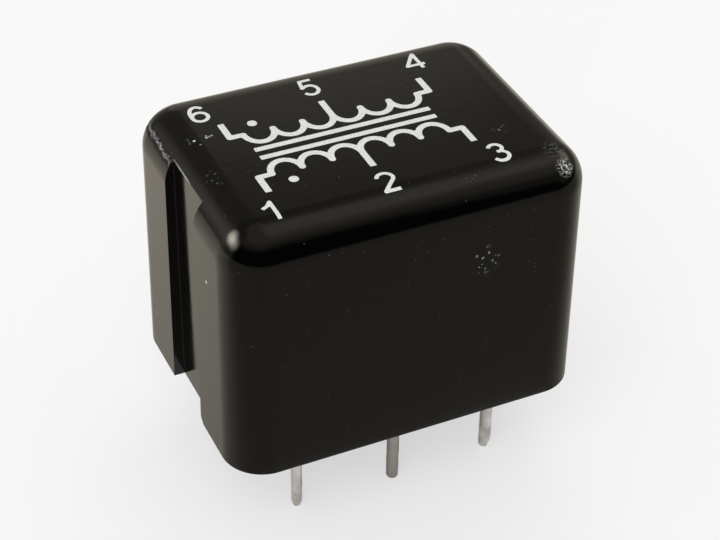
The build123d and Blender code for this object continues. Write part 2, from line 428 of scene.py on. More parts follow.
def arc(middle_x, middle_y, radius_x, radius_y, start, end):
    """Points along part of an ellipse, from one angle to another in degrees."""
    angles = [radians(start + (end - start) * step / ARC_STEPS) for step in range(ARC_STEPS + 1)]
    return [(middle_x + radius_x * cos(turn), middle_y + radius_y * sin(turn)) for turn in angles]


# The strokes of plain numerals, in shares of their half width and half height
DIGIT_STROKES = {
    1: [[(0.6, -1), (0.6, 1), (0.07, 0.6), (-0.7, 0.36)]],
    2: [arc(0, 0.44, 1, 0.56, 170, -32) + [(-0.95, -1), (1, -1)]],
    3: [arc(0, 0.52, 0.84, 0.48, 160, -95), arc(0, -0.455, 1, 0.545, 98, -160)],
    4: [[(0.65, -1.05), (0.65, 1.05), (-1.17, -0.48), (1.28, -0.48)]],
    5: [[(0.88, 1), (-0.62, 1), (-0.85, 0.05)] + arc(0, -0.365, 1, 0.635, 135, -155)],
    6: [arc(0.05, 0, 1.05, 1, 42, 180) + [(-1, -0.36)], arc(0, -0.36, 1, 0.59, 0, 360)],
}


def diagram_strokes():
    """A plain winding diagram: a coil with a tap by each row of pins, and the core between them."""
    coil_left = DIAGRAM_TAP_X - COIL_LOOPS * COIL_PITCH / 2
    coil_right = DIAGRAM_TAP_X + COIL_LOOPS * COIL_PITCH / 2
    lead_left, lead_right = DIAGRAM_TAP_X - DIAGRAM_REACH, DIAGRAM_TAP_X + DIAGRAM_REACH
    strokes = []
    for side in (-1, 1):
        level = DIAGRAM_MIDDLE_Y + side * COIL_LEVEL
        lead_end = DIAGRAM_MIDDLE_Y + side * LEAD_LEVEL
        wire = [(lead_left, lead_end), (lead_left, level)]
        for loop in range(COIL_LOOPS):
            middle = coil_left + (loop + 0.5) * COIL_PITCH
            wire += arc(middle, level, COIL_PITCH / 2, COIL_DEPTH, -180 * side, 0)
        wire += [(lead_right, level), (lead_right, lead_end)]
        strokes.append(wire)
        strokes.append([(DIAGRAM_TAP_X, level), (DIAGRAM_TAP_X, lead_end)])
        core = DIAGRAM_MIDDLE_Y + side * CORE_LEVEL
        strokes.append([(coil_left, core), (coil_right, core)])
        dot_radius = DOT_RADIUS - DIAGRAM_STROKE / 2
        dot_y = level + side * DOT_DROP
        strokes.append(arc(coil_left + COIL_PITCH / 2, dot_y, dot_radius, dot_radius, 0, 360))
    return strokes


def split_at_turns(points):
    """A stroke split wherever it turns sharply, and the places of those turns."""
    points = [Vector(point) for point in points]
    points = points[:1] + [
        point for last, point in zip(points, points[1:]) if (point - last).length > LEAST_STEP
    ]
    parts, turns = [points[:1]], []
    for last, point, following in zip(points, points[1:], points[2:]):
        parts[-1].append(point)
        if (point - last).angle(following - point) > SHARP_TURN:
            turns.append(point)
            parts.append([point])
    parts[-1].append(points[-1])
    return parts, turns


def print_on_top(name, strokes, stroke_width, voxel, case):
    """Ink strokes, drawn in millimetres: round tubes fused, pressed thin and laid on the case."""
    split = [split_at_turns(points) for points in strokes]
    data = bpy.data.curves.new(name, "CURVE")
    data.dimensions = "3D"
    data.bevel_depth = stroke_width / 2
    data.use_fill_caps = True
    for part in [part for parts, turns in split for part in parts]:
        spline = data.splines.new("POLY")
        spline.points.add(len(part) - 1)
        for point, place in zip(spline.points, part):
            point.co = (place.x, place.y, 0, 1)
    activate(new_object(name, data))
    bpy.ops.object.convert(target="MESH")
    piece = bpy.context.object
    joints = []
    for turn in [turn for parts, turns in split for turn in turns]:
        joints.append(new_primitive(
            bpy.ops.mesh.primitive_uv_sphere_add, "joint", segments=JOINT_SEGMENTS,
            ring_count=JOINT_SEGMENTS // 2, radius=stroke_width / 2, location=(turn.x, turn.y, 0),
        ))
    if joints:
        join(piece, joints)
    add_modifier(piece, "REMESH", mode="VOXEL", voxel_size=voxel)
    piece.data.transform(Matrix.Diagonal((MM, MM, MM * INK_THICKNESS / stroke_width, 1)))
    down = Vector((0, 0, -1))
    for vertex in piece.data.vertices:
        place = case.ray_cast(Vector((vertex.co.x, vertex.co.y, 2 * CASE_HEIGHT)), down)[1]
        vertex.co.z += place.z
    activate(piece)
    bpy.ops.object.shade_smooth()
    return piece


def make_print(case):
    """The six pin numbers and the winding diagram."""
    pieces = []
    for number, (middle_x, middle_y) in DIGIT_PLACES.items():
        reach_x = (DIGIT_WIDTH - DIGIT_STROKE) / 2
        reach_y = (DIGIT_HEIGHT - DIGIT_STROKE) / 2
        strokes = [
            [(middle_x + reach_x * x, middle_y + reach_y * y) for x, y in points]
            for points in DIGIT_STROKES[number]
        ]
        name = f"printed_number_{number}"
        pieces.append(print_on_top(name, strokes, DIGIT_STROKE, DIGIT_VOXEL, case))
    strokes = diagram_strokes()
    return pieces + [print_on_top("winding_diagram", strokes, DIAGRAM_STROKE, DIAGRAM_VOXEL, case)]


def new_disc(name, radius, place):
    """A flat disc with as many sides as a pin has."""
    disc = new_primitive(
        bpy.ops.mesh.primitive_circle_add, name, vertices=PIN_SIDES, radius=radius,
        fill_type="NGON", location=place,
    )
    bpy.ops.object.transform_apply()
    return disc


def make_pin(number):
    """A round pin drawn down ring by ring to its nose, unevenly tinned, with its square shank."""
    low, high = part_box(f"terminal_pin_{number}")
    centre_x, centre_y = (low.x + high.x) / 2, (low.y + high.y) / 2
    radius = NARROW_PINS[number] * MM if number in NARROW_PINS else PIN_RADIUS
    nose_length, tip_flat = NOSE_LENGTHS[number] * MM, TIP_FLATS[number] * MM
    nose_start = low.z + nose_length
    rings = round((RESIN_LEVEL - nose_start) / PIN_RING_STEP)
    drop = nose_start - RESIN_LEVEL
    levels = [RESIN_LEVEL + drop * ring / rings for ring in range(1, rings + 1)]
    widths = [radius] * rings
    for ring in range(1, PIN_NOSE_RINGS + 1):
        turn = radians(90 * ring / PIN_NOSE_RINGS)
        levels.append(nose_start - nose_length * sin(turn))
        widths.append(tip_flat + (radius - tip_flat) * cos(turn))
    rod = new_disc(f"tinned_pin_{number}", radius, (centre_x, centre_y, RESIN_LEVEL))
    bpy.ops.object.mode_set(mode="EDIT")
    level, width = RESIN_LEVEL, radius
    for next_level, next_width in zip(levels, widths):
        step = (0, 0, next_level - level)
        bpy.ops.mesh.extrude_region_move(TRANSFORM_OT_translate={"value": step})
        share = next_width / width
        centre = (centre_x, centre_y, next_level)
        bpy.ops.transform.resize(value=(share, share, 1), center_override=centre)
        level, width = next_level, next_width
    bpy.ops.object.mode_set(mode="OBJECT")
    join(rod, [new_disc("pin_cap", radius, (centre_x, centre_y, RESIN_LEVEL))])
    bpy.ops.object.mode_set(mode="EDIT")
    bpy.ops.mesh.select_all(action="SELECT")
    bpy.ops.mesh.remove_doubles(threshold=PIN_MERGE)
    bpy.ops.mesh.normals_make_consistent(inside=False)
    bpy.ops.object.mode_set(mode="OBJECT")
    for vertex in rod.data.vertices:
        from_axis = vertex.co - Vector((centre_x, centre_y, vertex.co.z))
        if from_axis.length > tip_flat / 2 and vertex.co.z < RESIN_LEVEL - PIN_RING_STEP / 2:
            lump = noise.noise(vertex.co / PIN_LUMP_SIZE) * PIN_UNEVENNESS
            near_root = max(0.0, 1 - (RESIN_LEVEL - vertex.co.z) / PIN_ROOT_LENGTH)
            vertex.co += from_axis.normalized() * (lump + PIN_ROOT_FLARE * near_root ** 2)
    if number == SLANTED_PIN:
        press_slant(rod, Vector((centre_x, centre_y, low.z)) + SLANT_SIDE * (radius - SLANT_DEPTH))
    half = SHANK_WIDTH / 2
    shank = box_piece(
        "shank", Vector((centre_x - half, centre_y - half, RESIN_LEVEL / 2)),
        Vector((centre_x + half, centre_y + half, high.z)),
    )
    combine(rod, shank, "UNION")
    finish_shading(rod, PIN_SMOOTHING)
    return rod


def press_slant(rod, start):
    """Press one side of the tip flat from a place on it upwards, as the cutter left it."""
    outward = (SLANT_SIDE * SLANT_HEIGHT + Vector((0, 0, -SLANT_DEPTH))).normalized()
    for vertex in rod.data.vertices:
        beyond = (vertex.co - start).dot(outward)
        if beyond > 0:
            vertex.co -= outward * beyond


def new_material(name, metallic=0.0):
    """A material with its node tree, ready for links to its shader."""
    material = bpy.data.materials.new(name)
    material.use_nodes = True
    tree = material.node_tree
    tree.nodes["Principled BSDF"].inputs["Metallic"].default_value = metallic
    return material, tree


def feed(tree, socket, value):
    """Give a socket a link from another node's output, or a plain value."""
    if isinstance(value, bpy.types.NodeSocket):
        tree.links.new(value, socket)
    else:
        socket.default_value = value


def add_node(tree, kind, settings=None, inputs=None):
    """A new node with its settings and inputs."""
    node = tree.nodes.new(kind)
    for key, value in (settings or {}).items():
        setattr(node, key, value)
    for key, value in (inputs or {}).items():
        feed(tree, node.inputs[key], value)
    return node


def add_math(tree, operation, *values, clamp=False):
    """The result of a Math node."""
    settings = {"operation": operation, "use_clamp": clamp}
    return add_node(tree, "ShaderNodeMath", settings, dict(enumerate(values))).outputs[0]


def split_place(tree, place):
    """The X, Y and Z of a place."""
    return add_node(tree, "ShaderNodeSeparateXYZ", inputs={"Vector": place}).outputs


def mix_colours(tree, share, first, second):
    """A mix of two colours by a share."""
    inputs = {0: share, 6: first, 7: second}
    return add_node(tree, "ShaderNodeMix", {"data_type": "RGBA"}, inputs).outputs[2]


def add_range(tree, value, low, high, to_low=0.0, to_high=1.0, smooth=False):
    """A value carried from one range to another."""
    settings = {"interpolation_type": "SMOOTHSTEP" if smooth else "LINEAR"}
    inputs = {
        "Value": value, "From Min": low, "From Max": high, "To Min": to_low, "To Max": to_high
    }
    return add_node(tree, "ShaderNodeMapRange", settings, inputs).outputs[0]


def add_spot(tree, place, centre, inner, outer):
    """A soft round spot: 1 within the inner radius of its centre and 0 past the outer one."""
    apart = add_node(tree, "ShaderNodeVectorMath", {"operation": "DISTANCE"}, {0: place, 1: centre})
    return add_range(tree, apart.outputs["Value"], inner, outer, 1.0, 0.0, smooth=True)


def new_group(name, inputs, outputs):
    """An empty node group of plain values, its first input the place on the surface."""
    group = bpy.data.node_groups.new(name, "ShaderNodeTree")
    group.interface.new_socket(name="Place", in_out="INPUT", socket_type="NodeSocketVector")
    for socket in inputs:
        group.interface.new_socket(name=socket, in_out="INPUT", socket_type="NodeSocketFloat")
    for socket in outputs:
        group.interface.new_socket(name=socket, in_out="OUTPUT", socket_type="NodeSocketFloat")
    return group, group.nodes.new("NodeGroupInput"), group.nodes.new("NodeGroupOutput")


def grain_group():
    """Grain at one size, and a slow and much wider change of tone."""
    group, entry, end = new_group("surface_grain", ["Size"], ["Height", "Tone"])
    scale = add_math(group, "DIVIDE", 1.0, entry.outputs["Size"])
    place = entry.outputs["Place"]
    inputs = {"Vector": place, "Scale": scale, "Detail": NOISE_DETAIL}
    fine = add_node(group, "ShaderNodeTexNoise", inputs=inputs)
    wide_scale = add_math(group, "DIVIDE", scale, TONE_WIDTH)
    inputs = {
        "Vector": place, "Scale": wide_scale, "Detail": TONE_DETAIL, "Distortion": TONE_DISTORTION
    }
    wide = add_node(group, "ShaderNodeTexNoise", inputs=inputs)
    group.links.new(fine.outputs[0], end.inputs["Height"])
    group.links.new(wide.outputs[0], end.inputs["Tone"])
    return group


def speck_group():
    """Scattered round specks: one in each chosen cell, with the share of cells that hold one."""
    group, entry, end = new_group("specks", ["Spacing", "Size", "Share"], ["Mask"])
    scale = add_math(group, "DIVIDE", 1.0, entry.outputs["Spacing"])
    cells = add_node(
        group, "ShaderNodeTexVoronoi", inputs={"Vector": entry.outputs["Place"], "Scale": scale}
    )
    chance = add_node(group, "ShaderNodeSeparateColor", inputs={"Color": cells.outputs["Color"]})
    chosen = add_math(group, "LESS_THAN", chance.outputs["Red"], entry.outputs["Share"])
    reach = add_math(group, "DIVIDE", entry.outputs["Size"], entry.outputs["Spacing"])
    varied = add_math(group, "MULTIPLY", reach, chance.outputs["Green"])
    inside = add_math(group, "SUBTRACT", varied, cells.outputs["Distance"])
    soft = add_math(group, "DIVIDE", inside, reach, clamp=True)
    bright = add_math(group, "MULTIPLY", soft, SPECK_SHARPNESS, clamp=True)
    group.links.new(add_math(group, "MULTIPLY", bright, chosen), end.inputs["Mask"])
    return group


def wire_group():
    """Turns of round wire laid side by side up a coil: their height, and painted shade in the
    grooves between them.
    """
    group, entry, end = new_group("wound_turns", ["Pitch"], ["Height", "Groove Shade"])
    height_up = split_place(group, entry.outputs["Place"])["Z"]
    turn = add_math(group, "DIVIDE", height_up, entry.outputs["Pitch"])
    phase = add_math(group, "FRACT", turn)
    across = add_math(group, "MULTIPLY_ADD", phase, 2.0, -1.0)
    square = add_math(group, "MULTIPLY", across, across)
    height = add_math(group, "SQRT", add_math(group, "SUBTRACT", 1.0, square, clamp=True))
    group.links.new(height, end.inputs["Height"])
    groove_shade = add_range(group, height, *TURN_SHADE_SPAN, 1.0, 0.0, smooth=True)
    group.links.new(groove_shade, end.inputs["Groove Shade"])
    return group


GRAIN = grain_group()
SPECKS = speck_group()
TURNS = wire_group()


def place_group(tree, group, place, **values):
    """One of the shared groups, placed in a material with its own values."""
    node = add_node(tree, "ShaderNodeGroup", {"node_tree": group}, {"Place": place})
    for key, value in values.items():
        feed(tree, node.inputs[key], value)
    return node.outputs


def scale_place(tree, place, scale):
    """A place with each of its axes scaled."""
    return add_node(tree, "ShaderNodeMapping", inputs={"Vector": place, "Scale": scale}).outputs[0]


def object_place(tree, scale=None):
    """The place on the piece, if wished with its axes scaled."""
    place = tree.nodes.new("ShaderNodeTexCoord").outputs["Object"]
    return scale_place(tree, place, scale) if scale else place


def finish_material(material, colour, roughness, height, depth):
    """Give a material its colour, its roughness and bumps of a depth in metres."""
    tree = material.node_tree
    inputs = tree.nodes["Principled BSDF"].inputs
    bump = add_node(tree, "ShaderNodeBump", inputs={"Height": height, "Distance": depth})
    tree.links.new(colour, inputs["Base Color"])
    tree.links.new(roughness, inputs["Roughness"])
    tree.links.new(bump.outputs[0], inputs["Normal"])
    return material


def add_noise(tree, place, size):
    """Plain noise of a size."""
    inputs = {"Vector": place, "Scale": 1 / size, "Detail": NOISE_DETAIL}
    return add_node(tree, "ShaderNodeTexNoise", inputs=inputs).outputs[0]


def add_marks(tree, place, marks):
    """Soft spots at a list of marks, the strongest one winning."""
    strongest = 0.0
    for centre, radius, strength in marks:
        spot = add_spot(tree, place, centre * MM, MARK_CORE * radius * MM, radius * MM)
        strongest = add_math(tree, "MAXIMUM", strongest, add_math(tree, "MULTIPLY", spot, strength))
    return strongest


def ridge_highlight_masks(tree, split, noise_height):
    """The chipped line on the rounding over the far end, which also carries a painted highlight,
    and the dark line along its lower side.
    """
    channel_side = CHANNEL_WIDTH / 2
    out = add_math(tree, "SUBTRACT", ROUGH_EDGE_X, split["X"])
    up = add_math(tree, "SUBTRACT", split["Z"], ROUGH_EDGE_Z)
    angle = add_math(tree, "ARCTAN2", out, up)
    sway = add_math(tree, "SUBTRACT", noise_height, 0.5)
    wandering = add_math(tree, "ADD", angle, add_math(tree, "MULTIPLY", sway, ROUGH_EDGE_WANDER))
    full_side = channel_side + ROUGH_EDGE_START
    past_channel = add_range(tree, split["Y"], channel_side, full_side)
    outside = add_math(tree, "GREATER_THAN", out, 0.0)
    near = add_math(tree, "MULTIPLY", past_channel, outside)
    line = add_range(tree, split["Y"], channel_side, ROUGH_EDGE_FAR_Y, *ROUGH_EDGE_ANGLES)
    dark_line = add_math(tree, "ADD", line, ROUGH_EDGE_DARK_STEP)
    masks = []
    for line_angle in (line, dark_line):
        off_line = add_math(tree, "ABSOLUTE", add_math(tree, "SUBTRACT", wandering, line_angle))
        on_line = add_range(
            tree, off_line, ROUGH_EDGE_CORE, ROUGH_EDGE_WIDTH, 1.0, 0.0, smooth=True
        )
        masks.append(add_math(tree, "MULTIPLY", on_line, near))
    return masks


def channel_highlight_masks(tree, place, split):
    """A painted highlight along the top edge of the channel's back, and a painted highlight along
    its inner corners.
    """
    in_profile = scale_place(tree, place, (1, 0, 1))
    edge_place = Vector((CHANNEL_BACK_X, 0, CHANNEL_BACK_TOP))
    on_edge = add_spot(tree, in_profile, edge_place, CHANNEL_EDGE_HIGHLIGHT_CORE, CHANNEL_EDGE_HIGHLIGHT_WIDTH)
    reach = add_math(tree, "ABSOLUTE", split["Y"])
    in_channel = add_math(tree, "LESS_THAN", reach, CHANNEL_WIDTH / 2)
    for start, end, low, high in CHANNEL_EDGE_HIGHLIGHT_FADES:
        fade = add_range(tree, split["Y"], start * MM, end * MM, low, high)
        on_edge = add_math(tree, "MULTIPLY", on_edge, fade)
    painted_channel_edge_highlight = add_math(tree, "MULTIPLY", on_edge, in_channel)
    in_plan = add_node(tree, "ShaderNodeCombineXYZ", inputs={"X": split["X"], "Y": reach})
    corner_place = Vector((CHANNEL_BACK_X, CHANNEL_WIDTH / 2, 0))
    painted_corner_highlight = add_spot(
        tree, in_plan.outputs[0], corner_place, CORNER_HIGHLIGHT_CORE, CORNER_HIGHLIGHT_WIDTH
    )
    return painted_channel_edge_highlight, painted_corner_highlight


def case_material():
    """Semi-gloss black moulding, faintly rippled, with dust, scuffs and worn edges, painted
    highlights along the rough line and the channel's edges, and a painted glint on a worn corner.
    """
    material, tree = new_material("moulded_black_plastic")
    place = object_place(tree)
    split = split_place(tree, place)
    ripple = place_group(tree, GRAIN, place, Size=0.5 * MM)
    grain = place_group(tree, GRAIN, place, Size=0.07 * MM)
    flow = place_group(tree, GRAIN, object_place(tree, (1.0, 1.0, 0.04)), Size=0.25 * MM)
    dust = place_group(tree, SPECKS, place, Spacing=0.4 * MM, Size=0.06 * MM, Share=0.25)["Mask"]
    flecks = place_group(tree, SPECKS, place, Spacing=1.7 * MM, Size=0.09 * MM, Share=0.14)["Mask"]
    chips = add_noise(tree, place, 0.13 * MM)
    rough_ridge_and_highlight, dark_edge = ridge_highlight_masks(tree, split, add_noise(tree, place, 0.3 * MM))
    # The pale top edge of the channel's back and the lighter inner corners of the channel are
    # painted highlights
    painted_channel_edge_highlight, painted_corner_highlight = channel_highlight_masks(tree, place, split)

    scuffs = place_group(tree, SPECKS, place, Spacing=0.2 * MM, Size=0.13 * MM, Share=0.42)["Mask"]
    rubbed = add_math(tree, "MULTIPLY", scuffs, add_marks(tree, place, RUBBED_MARKS))
    # A worn corner patch: roughened plastic, and its pale colour a painted glint
    worn_glint_place = add_marks(tree, place, WORN_GLINT_MARKS)
    worn_glint = add_math(tree, "MULTIPLY", add_range(tree, chips, 0.48, 0.6), worn_glint_place)
    bare = add_marks(tree, place, BARE_MARKS)
    # A pale bluish colour along the rough line: a painted highlight on the rough ridge
    painted_ridge_highlight = add_math(tree, "MULTIPLY", add_range(tree, chips, 0.5, 0.6, 0.12, 1.0), rough_ridge_and_highlight)
    painted_channel_edge_highlight = add_math(tree, "MULTIPLY", add_range(tree, chips, 0.3, 0.55, 0.3, 1.0), painted_channel_edge_highlight)

    darkest, palest = (0.0003, 0.0003, 0.0003, 1), (0.0016, 0.0016, 0.0016, 1)
    colour = mix_colours(tree, grain["Height"], darkest, palest)
    for share, light in (
        (dust, (0.035, 0.034, 0.032, 1)),
        (flecks, (0.2, 0.2, 0.19, 1)),
        (painted_corner_highlight, (0.012, 0.012, 0.011, 1)),
        (rubbed, (0.36, 0.36, 0.35, 1)),
        (worn_glint, (0.5, 0.5, 0.48, 1)),
        (painted_ridge_highlight, (0.3, 0.3, 0.32, 1)),
        (painted_channel_edge_highlight, (0.34, 0.33, 0.31, 1)),
        (bare, (0.75, 0.75, 0.72, 1)),
    ):
        colour = mix_colours(tree, share, colour, light)

    roughness = add_range(tree, ripple["Tone"], *NOISE_SPAN, 0.07, 0.15)
    for share, rise in (
        (dust, 0.3), (rubbed, 0.3), (worn_glint, 0.3), (rough_ridge_and_highlight, 0.2), (dark_edge, 0.75)
    ):
        roughness = add_math(tree, "MULTIPLY_ADD", share, rise, roughness)

    height = ripple["Height"]
    chipped = add_math(tree, "ADD", worn_glint_place, add_math(tree, "SUBTRACT", rough_ridge_and_highlight, dark_edge))
    edge_height = add_math(tree, "MULTIPLY", chips, chipped)
    for part, share in (
        (grain["Height"], 0.15), (flow["Height"], 0.35), (dust, 0.6), (edge_height, 18.0)
    ):
        height = add_math(tree, "MULTIPLY_ADD", part, share, height)
    return finish_material(material, colour, roughness, height, 0.003 * MM)


def ink_material():
    """White printing ink, a little uneven, with pinholes where it missed the plastic."""
    material, tree = new_material("white_ink")
    place = object_place(tree)
    grain = place_group(tree, GRAIN, place, Size=0.09 * MM)
    holes = place_group(tree, SPECKS, place, Spacing=0.3 * MM, Size=0.06 * MM, Share=0.3)["Mask"]
    share = add_range(tree, grain["Height"], 0.35, 0.65)
    colour = mix_colours(tree, share, (0.62, 0.62, 0.61, 1), (0.78, 0.78, 0.77, 1))
    colour = mix_colours(tree, holes, colour, (0.2, 0.2, 0.2, 1))
    roughness = add_range(tree, grain["Tone"], *NOISE_SPAN, 0.4, 0.6)
    return finish_material(material, colour, roughness, grain["Height"], 0.004 * MM)


def tin_material():
    """Satin tin on drawn wire: faint lines along it, and duller patches."""
    material, tree = new_material("tinned_wire", metallic=1.0)
    place = object_place(tree)
    lines = place_group(tree, GRAIN, object_place(tree, (1.0, 1.0, 0.06)), Size=0.05 * MM)
    grain = place_group(tree, GRAIN, place, Size=0.06 * MM)
    dull = add_range(tree, add_noise(tree, place, 0.9 * MM), 0.42, 0.62)
    dark = add_spot(tree, place, DARK_TIN_PLACE, DARK_TIN_REACH, 1.5 * DARK_TIN_REACH)
    colour = mix_colours(tree, dull, (0.84, 0.82, 0.78, 1), (0.62, 0.59, 0.54, 1))
    colour = mix_colours(tree, dark, colour, (0.44, 0.41, 0.37, 1))
    roughness = add_range(tree, dull, 0.0, 1.0, 0.3, 0.46)
    height = add_math(tree, "MULTIPLY_ADD", lines["Height"], 1.5, grain["Height"])
    return finish_material(material, colour, roughness, height, 0.002 * MM)


def resin_material():
    """Black filled casting resin: a soft gloss skin with pits where bubbles broke."""
    material, tree = new_material("casting_resin")
    place = object_place(tree)
    skin = place_group(tree, GRAIN, place, Size=0.6 * MM)
    pits = place_group(tree, SPECKS, place, Spacing=0.9 * MM, Size=0.22 * MM, Share=0.3)["Mask"]
    dust = place_group(tree, SPECKS, place, Spacing=0.4 * MM, Size=0.06 * MM, Share=0.2)["Mask"]
    colour = mix_colours(tree, skin["Tone"], (0.011, 0.0105, 0.01, 1), (0.026, 0.024, 0.021, 1))
    colour = mix_colours(tree, dust, colour, (0.08, 0.078, 0.072, 1))
    roughness = add_range(tree, skin["Height"], *NOISE_SPAN, 0.28, 0.42)
    roughness = add_math(tree, "MULTIPLY_ADD", pits, 0.25, roughness)
    height = add_math(tree, "MULTIPLY_ADD", pits, -4.0, skin["Height"])
    return finish_material(material, colour, roughness, height, 0.012 * MM)


def nylon_material():
    """Natural glass-filled nylon: fibres show as short pale streaks."""
    material, tree = new_material("glass_filled_nylon")
    fibres = place_group(tree, GRAIN, object_place(tree, (0.15, 1.0, 1.0)), Size=0.06 * MM)
    skin = place_group(tree, GRAIN, object_place(tree), Size=0.3 * MM)
    share = add_range(tree, fibres["Height"], 0.5, 0.68)
    colour = mix_colours(tree, share, (0.56, 0.51, 0.4, 1), (0.74, 0.71, 0.62, 1))
    roughness = add_range(tree, skin["Tone"], *NOISE_SPAN, 0.42, 0.58)
    height = add_math(tree, "MULTIPLY_ADD", fibres["Height"], 0.5, skin["Height"])
    return finish_material(material, colour, roughness, height, 0.004 * MM)


def winding_material():
    """Enamelled copper wire in close turns, with painted shade in the grooves between them."""
    material, tree = new_material("wound_copper", metallic=0.9)
    place = object_place(tree)
    turns = place_group(tree, TURNS, place, Pitch=0.09 * MM)
    grain = place_group(tree, GRAIN, place, Size=0.2 * MM)
    share = add_range(tree, grain["Height"], 0.35, 0.65)
    colour = mix_colours(tree, share, (0.5, 0.17, 0.05, 1), (0.66, 0.29, 0.1, 1))
    # Painted shade darkens the grooves between the turns
    colour = mix_colours(tree, turns["Groove Shade"], colour, (0.06, 0.02, 0.01, 1))
    roughness = add_range(tree, grain["Height"], *NOISE_SPAN, 0.22, 0.34)
    return finish_material(material, colour, roughness, turns["Height"], 0.03 * MM)


def tape_material():
    """Amber polyester tape, drawn tight over the turns under it."""
    material, tree = new_material("amber_tape")
    place = object_place(tree)
    turns = place_group(tree, TURNS, place, Pitch=0.18 * MM)
    wrinkles = place_group(tree, GRAIN, object_place(tree, (1.0, 1.0, 0.25)), Size=0.4 * MM)
    share = add_range(tree, wrinkles["Height"], 0.35, 0.65)
    colour = mix_colours(tree, share, (0.62, 0.38, 0.06, 1), (0.8, 0.58, 0.14, 1))
    roughness = add_range(tree, wrinkles["Tone"], *NOISE_SPAN, 0.18, 0.32)
    height = add_math(tree, "MULTIPLY_ADD", turns["Height"], 0.15, wrinkles["Height"])
    return finish_material(material, colour, roughness, height, 0.02 * MM)


def enamel_material():
    """Red-brown enamel on the leads, with lighter stretches where it was handled."""
    material, tree = new_material("enamelled_lead", metallic=0.8)
    grain = place_group(tree, GRAIN, object_place(tree), Size=0.12 * MM)
    share = add_range(tree, grain["Height"], 0.4, 0.65)
    colour = mix_colours(tree, share, (0.46, 0.13, 0.045, 1), (0.6, 0.24, 0.09, 1))
    roughness = add_range(tree, grain["Height"], *NOISE_SPAN, 0.2, 0.34)
    return finish_material(material, colour, roughness, grain["Height"], 0.003 * MM)


def solder_material():
    """Solder that set with a faint frosting, and traces of amber flux."""
    material, tree = new_material("set_solder", metallic=1.0)
    place = object_place(tree)
    frost = place_group(tree, GRAIN, place, Size=0.1 * MM)
    flux = place_group(tree, SPECKS, place, Spacing=0.7 * MM, Size=0.4 * MM, Share=0.35)["Mask"]
    colour = mix_colours(tree, flux, (0.66, 0.66, 0.64, 1), (0.42, 0.3, 0.12, 1))
    roughness = add_range(tree, frost["Height"], 0.35, 0.65, 0.16, 0.4)
    return finish_material(material, colour, roughness, frost["Height"], 0.006 * MM)


def steel_material():
    """Rolled core steel: lines along the plate, and the blue-grey film of the anneal."""
    material, tree = new_material("core_steel_plate", metallic=1.0)
    place = object_place(tree)
    lines = place_group(tree, GRAIN, object_place(tree, (1.0, 1.0, 0.04)), Size=0.05 * MM)
    share = add_range(tree, add_noise(tree, place, 2.5 * MM), 0.38, 0.62)
    colour = mix_colours(tree, share, (0.34, 0.34, 0.35, 1), (0.24, 0.26, 0.3, 1))
    roughness = add_range(tree, lines["Height"], *NOISE_SPAN, 0.3, 0.5)
    return finish_material(material, colour, roughness, lines["Height"], 0.002 * MM)


def set_material(piece, material):
    """Give a piece one material in place of any it had."""
    piece.data.materials.clear()
    piece.data.materials.append(material)


def aim_matrix(place, target, roll=0.0):
    """The matrix of a camera or lamp at a place that looks at a target."""
    ahead = (target - place).normalized()
    side = ahead.cross(Vector((0, 0, 1))).normalized()
    above = side.cross(ahead)
    turned_side = cos(roll) * side + sin(roll) * above
    turned_above = cos(roll) * above - sin(roll) * side
    matrix = Matrix((turned_side, turned_above, -ahead)).transposed().to_4x4()
    return Matrix.Translation(place) @ matrix


def direction(azimuth, elevation):
    """The unit vector towards an azimuth from +Y and an elevation, in degrees."""
    turn, rise = radians(azimuth), radians(elevation)
    return Vector((sin(turn) * cos(rise), cos(turn) * cos(rise), sin(rise)))


def make_camera():
    """The camera that fits the photograph."""
    data = bpy.data.cameras.new("camera")
    data.sensor_fit = "HORIZONTAL"
    data.sensor_width = SENSOR_WIDTH
    data.lens = LENS
    data.clip_start = CLIP_START
    camera = new_object("camera", data)
    camera.matrix_world = aim_matrix(EYE, AIM, ROLL)
    bpy.context.scene.camera = camera


def mix_shaders(tree, share, first, second):
    """A mix of the shaders of two nodes by a share."""
    inputs = {0: share, 1: first.outputs[0], 2: second.outputs[0]}
    return add_node(tree, "ShaderNodeMixShader", inputs=inputs).outputs[0]


def make_world():
    """White to the camera and in reflections, and a soft even light for everything else."""
    world = bpy.data.worlds.new("studio")
    bpy.context.scene.world = world
    world.use_nodes = True
    tree = world.node_tree
    tree.nodes.clear()
    path = tree.nodes.new("ShaderNodeLightPath").outputs
    seen = add_math(tree, "MAXIMUM", path["Is Camera Ray"], path["Is Glossy Ray"])
    seen = add_math(tree, "MAXIMUM", seen, path["Is Transmission Ray"])
    ambient, white = [
        add_node(tree, "ShaderNodeBackground", inputs={"Color": WHITE, "Strength": strength})
        for strength in (AMBIENT_STRENGTH, 1.0)
    ]
    sky = mix_shaders(tree, seen, ambient, white)
    add_node(tree, "ShaderNodeOutputWorld", inputs={"Surface": sky})


def make_floor():
    """A pale floor that keeps the soft shadow, lifted towards white for the camera."""
    floor = new_primitive(bpy.ops.mesh.primitive_plane_add, "floor", size=FLOOR_SIZE)
    floor.data.transform(Matrix.Translation((0, 0, FLOOR_LEVEL)))
    material, tree = new_material("pale_floor")
    shader = tree.nodes["Principled BSDF"]
    shader.inputs["Base Color"].default_value = (FLOOR_GREY, FLOOR_GREY, FLOOR_GREY, 1)
    shader.inputs["Roughness"].default_value = FLOOR_ROUGHNESS
    path = tree.nodes.new("ShaderNodeLightPath").outputs
    lift = add_math(tree, "MULTIPLY", path["Is Camera Ray"], FLOOR_LIFT)
    surface = mix_shaders(tree, lift, shader, tree.nodes.new("ShaderNodeEmission"))
    tree.links.new(surface, tree.nodes["Material Output"].inputs["Surface"])
    set_material(floor, material)


